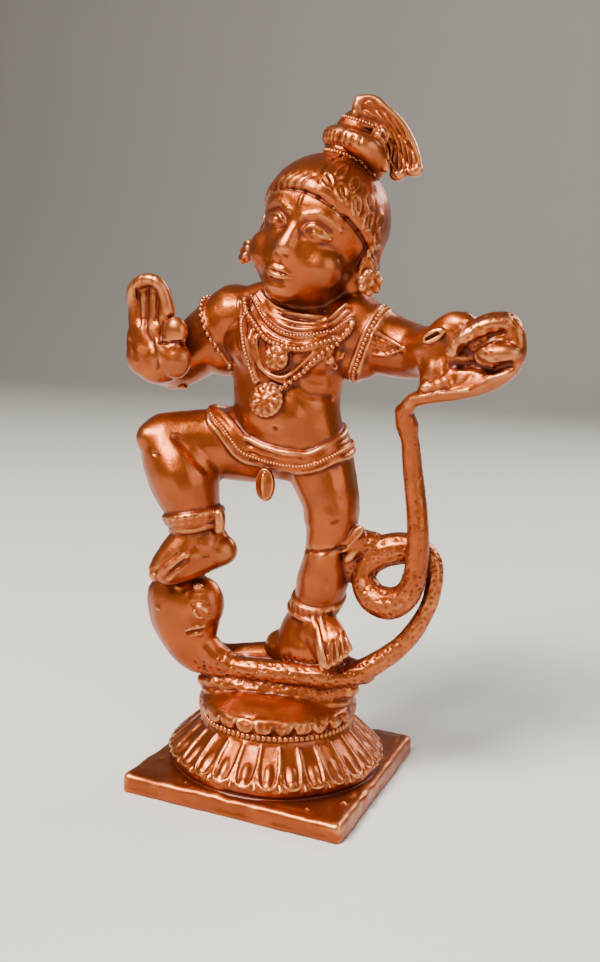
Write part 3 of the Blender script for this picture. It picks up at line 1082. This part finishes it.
class Skin:
    """The cast skin's points in millimetres, to be cut, raised and roughened."""

    def __init__(self, obj):
        self.mesh = obj.data
        count = len(self.mesh.vertices)
        self.points = np.empty(count * 3)
        self.mesh.vertices.foreach_get("co", self.points)
        self.points = self.points.reshape(-1, 3) / MM
        self.read_normals()
        self.edges = np.empty(len(self.mesh.edges) * 2, np.int32)
        self.mesh.edges.foreach_get("vertices", self.edges)
        self.edges = self.edges.reshape(-1, 2)

    def read_normals(self):
        self.normals = np.empty(len(self.mesh.vertices) * 3)
        self.mesh.vertex_normals.foreach_get("vector", self.normals)
        self.normals = self.normals.reshape(-1, 3)

    def press(self, line, width, depth, look=LENS_WAY, reach=1.8):
        """Sinks a furrow along a line seen from one side, or raises a ridge where depth is below 0."""
        line = np.array([tuple(p)[:3] for p in line])
        pad = max(width, reach)
        near = np.flatnonzero(((self.points > line.min(0) - pad) & (self.points < line.max(0) + pad)).all(1))
        look = np.array(look)
        near = near[self.normals[near] @ look > 0.05]
        facing = np.clip((self.normals[near] @ look - 0.05) / 0.3, 0, 1)
        spots = self.points[near]
        best = np.full(len(near), 1e9)
        for start, end in zip(line[:-1], line[1:]):
            run, rel = end - start, spots - start
            deep = rel @ look
            rel = rel - np.outer(deep, look)
            run = run - (run @ look) * look
            share = np.clip(rel @ run / max(run @ run, 1e-9), 0, 1)
            gap = np.linalg.norm(rel - np.outer(share, run), axis=1)
            best = np.where((np.abs(deep) < reach) & (gap < best), gap, best)
        fade = np.clip(1 - (best / width) ** 2, 0, 1) ** 2 * facing
        self.points[near] -= self.normals[near] * (depth * fade)[:, None]

    def near_bar(self, stations, share=1.25, pad=0.3):
        """Which points belong to a bar through stations of x, y, z, radius."""
        line = np.array(smooth_line(stations, steps=4))
        chosen = np.zeros(len(self.points), bool)
        for station in line:
            reach = station[3] * share + pad
            box = np.abs(self.points - station[:3]).max(1) < reach
            close = np.flatnonzero(box)
            chosen[close[np.linalg.norm(self.points[close] - station[:3], axis=1) < reach]] = True
        return chosen

    def raise_by(self, chosen, heights):
        self.points[chosen] += self.normals[chosen] * np.asarray(heights)[:, None]

    def smoothed(self, rounds):
        """The points after that many rounds of averaging with their neighbours."""
        count = len(self.points)
        first, second = self.edges[:, 0], self.edges[:, 1]
        degree = np.maximum(np.bincount(self.edges.ravel(), minlength=count), 1)
        points = self.points.copy()
        for _ in range(rounds):
            for axis in range(3):
                column = points[:, axis]
                total = np.bincount(first, column[second], count) + np.bincount(second, column[first], count)
                points[:, axis] = total / degree
        return points

    def write(self):
        self.mesh.vertices.foreach_set("co", (self.points * MM).ravel())
        self.mesh.update()
        self.read_normals()


def cut_details(skin):
    """The lines, pits and roughness that are worked into the wax's surface."""
    comb_hair(skin)
    for line, width, depth, look, reach in MARKS:
        skin.press(line, width, depth, look, reach)
    # the fold under the breast, the navel and the shallow hollow down the back
    skin.press(((2.6, -5.0, 52.8), (4.5, -4.2, 51.7), (6.8, -2.8, 51.5)), 1.1, 0.32)
    skin.press(((0.7, -6, 47.2), (0.9, -6, 47.1)), 0.45, 0.25)
    skin.press(((1.2, 4, 61.0), (0.4, 4.5, 55.0), (0.0, 5, 49.8)), 2.6, 0.2, BEHIND, 3.0)
    # raised leg: pit on the knee, the fold from knee to groin
    skin.press(((-13.9, -9.8, 43.3), (-13.6, -9.8, 43.2)), 0.34, 0.25)
    skin.press(((-11.4, -9, 45.4), (-10.4, -8, 44.2), (-8.8, -8, 42.6), (-7.8, -7, 41.2)), 0.9, 0.38)
    # standing leg: crease over the knee and the dent above it
    skin.press(((3.4, -2.4, 31.9), (5.5, -3.3, 31.6), (7.8, -2.9, 32.0), (9.0, -1.6, 32.4)), 0.5, 0.3)
    skin.press(((7.8, -3.3, 35.8), (8.6, -3.2, 36.2)), 0.3, 0.16)
    # serpent's pitted skin, the tail's scales, rough rim and rough web
    knob = ((26.0, -6.4, 57.2, 1.2), (26.8, -6.6, 57.3, 1.0))
    for stations, size, depth in (
        (SERPENT[1:9], 0.62, 0.17),
        (SERPENT[9:23], 0.62, 0.15),
        (SERPENT[22:], 0.6, 0.07),
        (TAIL_LOOP[6:], 0.6, 0.07),
        (LOOP_BAR, 0.55, 0.1),
        (knob, 0.6, 0.1),
    ):
        chosen = skin.near_bar(stations)
        spread = pits(skin.points[chosen], size, 5)
        skin.raise_by(chosen, -depth * np.clip(1 - (spread / 0.42) ** 2, 0, 1))
    web = ((25.8, -5.4, 59.4, 1.6), (27.6, -5.2, 59.9, 1.0))
    low_web = ((19.5, -5.2, 53.4, 0.8), (22.6, -5.4, 54.2, 0.9), (25.8, -5.4, 55.0, 0.6))
    for stations, size, depth in ((BED_RIM, 0.7, 0.16), (web, 0.7, 0.2), (low_web, 0.8, 0.16)):
        chosen = skin.near_bar(stations, 1.15, 0.2)
        skin.raise_by(chosen, depth * lumps(skin.points[chosen], size, 3))
    # the scalloped rim is worn and lumpy
    reach = np.hypot(skin.points[:, 0], skin.points[:, 1])
    rim = (reach > 9.4) & (skin.points[:, 2] > 8.9) & (skin.points[:, 2] < 11.1)
    skin.raise_by(rim, 0.14 * lumps(skin.points[rim], 0.75, 6))
    # the plate's edges are dented
    edge = (np.abs(skin.points[:, :2]).max(1) > 13.6) & (skin.points[:, 2] > 0.6) & (skin.points[:, 2] < 3.2)
    skin.raise_by(edge, 0.12 * lumps(skin.points[edge], 1.7, 8) - 0.05)
    # the whole casting is slightly uneven
    everywhere = np.ones(len(skin.points), bool)
    uneven = 0.08 * lumps(skin.points, 2.4, 11) + 0.035 * lumps(skin.points, 0.9, 12)
    skin.raise_by(everywhere, uneven)


def comb_hair(skin):
    """Faint furrows drawn over the cap of hair from the knot down to the fringe."""
    crown = on_head(0.3, -1.0, 9.0)
    rel = (skin.points - np.array(on_head(*CAP_CENTRE))) @ np.array(HEAD_AXES)
    shell = np.abs(np.linalg.norm(rel / np.array(CAP_RADII), axis=1) - 1) < 0.05
    above = (skin.points - np.array(on_head(*CAP_EDGE))) @ np.array(HEAD_AXES @ Vector(CAP_SLANT)) < -1.6
    chosen = shell & above
    out = (skin.points[chosen] - np.array(crown)) @ np.array(HEAD_AXES)
    turn = np.arctan2(out[:, 1], out[:, 0])
    wander = 0.8 * lumps(skin.points[chosen], 3.0, 21) + 0.4 * lumps(skin.points[chosen], 1.2, 22)
    skin.raise_by(chosen, 0.018 * np.sin(44 * turn + 2.4 * wander))


def shade_of(obj):
    """How hidden each point is, from 0 in the open to 1 in a deep hollow."""
    surface = surface_of(obj)
    rng = np.random.default_rng(7)
    ways = rng.normal(size=(14, 3))
    ways = [Vector(w).normalized() for w in ways]
    reach = 5.0 * MM
    hidden = np.empty(len(obj.data.vertices))
    for i, vertex in enumerate(obj.data.vertices):
        normal = vertex.normal
        start = vertex.co + normal * 0.06 * MM
        met = 0.0
        for way in ways:
            aim = (way + normal * 1.05).normalized()
            distance = surface.ray_cast(start, aim, reach)[3]
            if distance is not None:
                met += 1 - 0.6 * distance / reach
        hidden[i] = met / len(ways)
    return hidden


def bead_pattern():
    """The few-sided ball that every bead is copied from."""
    bpy.ops.mesh.primitive_uv_sphere_add(segments=7, ring_count=4, radius=MM, location=(0, 0, 0))
    pattern = bpy.context.object
    bpy.ops.object.shade_smooth()
    mesh = pattern.data
    bpy.data.objects.remove(pattern)
    return mesh


def string_beads(surface):
    """Beads along every waiting row, each half sunk in the cast skin."""
    pattern = bead_pattern()
    made = []
    for row, size, gap, tall, lift in BEAD_ROWS:
        line = [Vector(p[:3]) for p in row]
        travelled, due = 0.0, gap / 2
        for start, end in zip(line, line[1:]):
            length = (end - start).length
            while due <= travelled + length:
                spot = start.lerp(end, (due - travelled) / max(length, 1e-6))
                found, normal, _, _ = surface.find_nearest(spot * MM)
                bead = link(bpy.data.objects.new("bead", pattern.copy()))
                bead.matrix_world = (
                    Matrix.Translation(found + normal * size * lift * MM)
                    @ normal.to_track_quat("Y", "Z").to_matrix().to_4x4()
                    @ Matrix.Diagonal((size, size * 0.9, size * tall, 1))
                )
                made.append(bead)
                due += gap
            travelled += length
    return made


def add_node(tree, kind, inputs=(), **settings):
    """Adds a node with its settings; an input is a value or another node's output."""
    made = tree.nodes.new(kind)
    for name, value in settings.items():
        setattr(made, name, value)
    for socket, value in dict(inputs).items():
        if isinstance(value, bpy.types.NodeSocket):
            tree.links.new(value, made.inputs[socket])
        else:
            made.inputs[socket].default_value = value
    return made


def cast_copper(colours):
    """Cast copper, handled for years: satin, warm brown, bright on the heights, dark in the hollows."""
    material = bpy.data.materials.new("cast_copper")
    material.use_nodes = True
    tree = material.node_tree
    shader = tree.nodes["Principled BSDF"]
    place = add_node(tree, "ShaderNodeTexCoord").outputs["Object"]
    relief = add_node(tree, "ShaderNodeAttribute", attribute_name="relief").outputs["Fac"]
    shade = add_node(tree, "ShaderNodeAttribute", attribute_name="shade").outputs["Fac"]
    # clouds of tarnish about 4 mm across, so a scale of 250 to the metre
    clouds = {"Vector": place, "Scale": 250.0, "Detail": 4.0}
    cloud = add_node(tree, "ShaderNodeTexNoise", clouds).outputs["Fac"]
    # grain left by the mould's fine clay, near 0.3 mm
    clay = {"Vector": place, "Scale": 3300.0, "Detail": 3.0}
    grain = add_node(tree, "ShaderNodeTexNoise", clay).outputs["Fac"]
    smooth = {"interpolation_type": "SMOOTHSTEP"}
    deep = add_node(tree, "ShaderNodeMapRange", {0: shade, 1: 0.26, 2: 0.9, 4: 0.85}, **smooth).outputs[0]
    sunk = add_node(tree, "ShaderNodeMapRange", {0: relief, 1: 0.46, 2: 0.32, 4: 0.85}, **smooth).outputs[0]
    dark = add_node(tree, "ShaderNodeMath", {0: deep, 1: sunk}, operation="ADD", use_clamp=True).outputs[0]
    high = add_node(tree, "ShaderNodeMapRange", {0: relief, 1: 0.55, 2: 0.82, 4: 0.8}, **smooth).outputs[0]
    patch = add_node(tree, "ShaderNodeMapRange", {0: cloud, 1: 0.35, 2: 0.7, 3: 0.0, 4: 0.4}).outputs[0]
    colour = tuple(colours.copper)
    for share, towards in ((patch, colours.recess), (high, colours.rubbed), (dark, colours.recess)):
        mixed = {0: share, 6: colour, 7: tuple(towards)}
        colour = add_node(tree, "ShaderNodeMix", mixed, data_type="RGBA").outputs[2]
    rough = add_node(tree, "ShaderNodeMapRange", {0: dark, 3: 0.31, 4: 0.56}).outputs[0]
    duller = {0: patch, 1: 0.25, 2: rough}
    rough = add_node(tree, "ShaderNodeMath", duller, operation="MULTIPLY_ADD").outputs[0]
    rise = {"Height": grain, "Strength": 0.5, "Distance": 0.05 * MM}
    bump = add_node(tree, "ShaderNodeBump", rise).outputs[0]
    tree.links.new(colour, shader.inputs["Base Color"])
    tree.links.new(rough, shader.inputs["Roughness"])
    tree.links.new(bump, shader.inputs["Normal"])
    shader.inputs["Metallic"].default_value = 0.92
    # the thin film of oil and lacquer that handling leaves
    shader.inputs["Coat Weight"].default_value = 0.3
    shader.inputs["Coat Roughness"].default_value = 0.2
    return material


def store(mesh, name, values):
    attribute = mesh.attributes.new(name, "FLOAT", "POINT")
    attribute.data.foreach_set("value", np.asarray(values, np.float32))


def cast_in_one(sizes, colours):
    """Joins every form, runs it into one skin, cuts its details, thins it and saws it flat underneath."""
    grid = sizes.fine_skin * 1.0
    LOOSE.extend(FORMS)
    FORMS.clear()
    figure = gather("krishna_figure_cast")
    run_together(figure, grid, 3)
    skin = Skin(figure)
    cut_details(skin)
    skin.write()
    # relief is judged over half a millimetre, whatever the grid
    rounds = round(20 * (FINE_GRID / grid) ** 2)
    height = ((skin.points - skin.smoothed(rounds)) * skin.normals).sum(1)
    # the tail is thin all along, so its roundness alone doesn't count as a height
    height[skin.near_bar(SERPENT[22:])] -= 0.06
    store(figure.data, "relief", 0.5 + 1.9 * height)
    apply(figure, "DECIMATE", ratio=min(1.0, sizes.triangles / (2 * len(figure.data.polygons))))
    with editing():
        bpy.ops.mesh.bisect(plane_co=(0, 0, 0), plane_no=(0, 0, 1), use_fill=True, clear_inner=True)
        bpy.ops.mesh.quads_convert_to_tris()
    beads = string_beads(surface_of(figure))
    store(figure.data, "shade", shade_of(figure))
    for bead in beads:
        for name, value in (("relief", BEAD_RELIEF), ("shade", BEAD_SHADE)):
            store(bead.data, name, np.full(len(bead.data.vertices), value))
    pick([figure, *beads], active=figure)
    bpy.ops.object.join()
    bpy.ops.object.shade_smooth()
    figure.data.materials.clear()
    figure.data.materials.append(cast_copper(colours))
    return figure


def make_floor(colours):
    """A pale floor that sweeps up into a backdrop."""
    bpy.ops.mesh.primitive_plane_add(size=2.4, location=(0, 0, 0))
    floor = bpy.context.object
    floor.name = "studio_floor"
    bpy.ops.object.mode_set(mode="EDIT")
    bpy.ops.mesh.select_all(action="DESELECT")
    bpy.ops.object.mode_set(mode="OBJECT")
    for edge in floor.data.edges:
        edge.select = all(floor.data.vertices[i].co.y > 1 for i in edge.vertices)
    bpy.ops.object.mode_set(mode="EDIT")
    bpy.ops.mesh.select_mode(type="EDGE")
    bpy.ops.mesh.extrude_region_move(TRANSFORM_OT_translate={"value": (0, 0, 1.6)})
    bpy.ops.object.mode_set(mode="OBJECT")
    for edge in floor.data.edges:
        ends = [floor.data.vertices[i].co for i in edge.vertices]
        edge.select = all(end.y > 1 and end.z < 0.1 for end in ends)
    bpy.ops.object.mode_set(mode="EDIT")
    bpy.ops.mesh.bevel(offset=0.5, segments=16, affect="EDGES")
    bpy.ops.object.mode_set(mode="OBJECT")
    bpy.ops.object.shade_smooth()
    material = bpy.data.materials.new("matt_paper")
    material.use_nodes = True
    shader = material.node_tree.nodes["Principled BSDF"]
    shader.inputs["Base Color"].default_value = tuple(colours.floor)
    shader.inputs["Roughness"].default_value = 0.85
    floor.data.materials.append(material)


def make_light(name, place, aim, size, power, colour):
    bpy.ops.object.light_add(type="AREA", location=place)
    lamp = bpy.context.object
    lamp.name = name
    lamp.data.shape = "RECTANGLE"
    lamp.data.size, lamp.data.size_y = size
    lamp.data.energy = power
    lamp.data.color = colour[:3]
    lamp.rotation_euler = (Vector(aim) - Vector(place)).to_track_quat("-Z", "Y").to_euler()


def make_camera():
    """The photograph's view: 23 degrees to the boy's left of front and a little above him."""
    turn, rise, roll = (math.radians(a) for a in (23.0, 8.7, 2.1))
    distance, focal = 128.0 * MM, 36.71
    back = Vector((math.sin(turn) * math.cos(rise), -math.cos(turn) * math.cos(rise), math.sin(rise)))
    side = Vector((math.cos(turn), math.sin(turn), 0))
    up = back.cross(side)
    right = side * math.cos(roll) + up * math.sin(roll)
    up = up * math.cos(roll) - side * math.sin(roll)
    place = Vector((0, 0, 40 * MM)) + back * distance
    bpy.ops.object.camera_add()
    camera = bpy.context.object
    camera.matrix_world = Matrix(
        [[right[i], up[i], back[i], place[i]] for i in range(3)] + [[0, 0, 0, 1]]
    )
    camera.data.sensor_fit = "VERTICAL"
    camera.data.sensor_height = 36
    camera.data.lens = focal
    camera.data.shift_x = 0.01455
    camera.data.shift_y = -0.00104
    camera.data.clip_start = 0.005
    camera.data.clip_end = 20
    bpy.context.scene.camera = camera


def make_world():
    world = bpy.data.worlds.new("studio")
    world.use_nodes = True
    ground = world.node_tree.nodes["Background"]
    ground.inputs["Color"].default_value = linear("#E9E6E1")
    ground.inputs["Strength"].default_value = 0.19
    bpy.context.scene.world = world


class FIGURE_OT_stage(bpy.types.Operator):
    """Adds the camera, the lamps, the floor and the sky"""

    bl_idname = "figure.stage"
    bl_label = "Studio"

    def execute(self, context):
        make_camera()
        make_floor(context.scene.figure_colours)
        make_world()
        make_light("key", (-0.15, -0.36, 0.46), (0, 0, 0.05), (0.24, 0.24), 10.0, (1.0, 0.95, 0.88))
        make_light("fill", (0.50, -0.22, 0.24), (0, 0, 0.05), (0.40, 0.40), 1.5, (1.0, 0.97, 0.94))
        make_light("rim", (0.22, 0.36, 0.34), (0, 0, 0.05), (0.30, 0.24), 1.8, (1.0, 0.98, 0.96))
        return {"FINISHED"}


class FIGURE_OT_base(bpy.types.Operator):
    """Models the plinth, the lotus seat and its petals"""

    bl_idname = "figure.base"
    bl_label = "Plinth and lotus"

    def execute(self, context):
        make_lotus(context.scene.figure_sizes)
        make_plinth(context.scene.figure_sizes)
        FORMS.append(gather("base_form"))
        return {"FINISHED"}


class FIGURE_OT_serpent(bpy.types.Operator):
    """Models the serpent, its hood and the bed of its coils"""

    bl_idname = "figure.serpent"
    bl_label = "Serpent"

    def execute(self, context):
        make_serpent()
        FORMS.append(gather("serpent_form"))
        return {"FINISHED"}


class FIGURE_OT_body(bpy.types.Operator):
    """Models the boy's flesh, softly run together"""

    bl_idname = "figure.body"
    bl_label = "Body"

    def execute(self, context):
        make_trunk()
        make_limbs()
        flesh = gather("flesh_form")
        run_together(flesh, context.scene.figure_sizes.body_skin, 10)
        SURFACES["flesh"] = surface_of(flesh)
        FORMS.append(flesh)
        return {"FINISHED"}


class FIGURE_OT_hands(bpy.types.Operator):
    """Models the raised hand, the hand on the tail and both feet"""

    bl_idname = "figure.hands"
    bl_label = "Hands and feet"

    def execute(self, context):
        make_raised_hand()
        make_holding_hand()
        make_feet()
        FORMS.append(gather("hand_form"))
        return {"FINISHED"}


class FIGURE_OT_head(bpy.types.Operator):
    """Models the face, the ears, the hair and the topknot"""

    bl_idname = "figure.head"
    bl_label = "Head"

    def execute(self, context):
        make_face()
        make_hair()
        make_topknot()
        FORMS.append(gather("head_form"))
        return {"FINISHED"}


class FIGURE_OT_jewellery(bpy.types.Operator):
    """Lays collars, strands, girdle, armlets and anklets on the body"""

    bl_idname = "figure.jewellery"
    bl_label = "Jewellery"

    def execute(self, context):
        make_jewellery()
        FORMS.append(gather("jewel_form"))
        return {"FINISHED"}


class FIGURE_OT_cast(bpy.types.Operator):
    """Casts all the forms as one copper piece"""

    bl_idname = "figure.cast"
    bl_label = "Cast in copper"

    def execute(self, context):
        figure = cast_in_one(context.scene.figure_sizes, context.scene.figure_colours)
        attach(figure, "root")
        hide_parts(NODE)
        return {"FINISHED"}


class FIGURE_PT_panel(bpy.types.Panel):
    """Lists the figure's forms, sizes and colours"""

    bl_label = "Krishna figure"
    bl_idname = "FIGURE_PT_panel"
    bl_space_type = "VIEW_3D"
    bl_region_type = "UI"
    bl_category = "Figure"

    def draw(self, context):
        for group in (context.scene.figure_sizes, context.scene.figure_colours):
            for name in group.__annotations__:
                self.layout.prop(group, name)
        for step in STEPS:
            self.layout.operator(step.bl_idname)


STEPS = (
    FIGURE_OT_stage,
    FIGURE_OT_base,
    FIGURE_OT_serpent,
    FIGURE_OT_body,
    FIGURE_OT_hands,
    FIGURE_OT_head,
    FIGURE_OT_jewellery,
    FIGURE_OT_cast,
)
CLASSES = (FigureSizes, FigureColours, *STEPS, FIGURE_PT_panel)


def register():
    for cls in CLASSES:
        bpy.utils.register_class(cls)
    bpy.types.Scene.figure_sizes = bpy.props.PointerProperty(type=FigureSizes)
    bpy.types.Scene.figure_colours = bpy.props.PointerProperty(type=FigureColours)


def unregister():
    del bpy.types.Scene.figure_colours
    del bpy.types.Scene.figure_sizes
    for cls in reversed(CLASSES):
        bpy.utils.unregister_class(cls)


def main():
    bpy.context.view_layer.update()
    register()
    bpy.ops.figure.stage()
    bpy.ops.figure.base()
    bpy.ops.figure.serpent()
    bpy.ops.figure.body()
    bpy.ops.figure.hands()
    bpy.ops.figure.head()
    bpy.ops.figure.jewellery()
    bpy.ops.figure.cast()


if __name__ == "__main__":
    main()
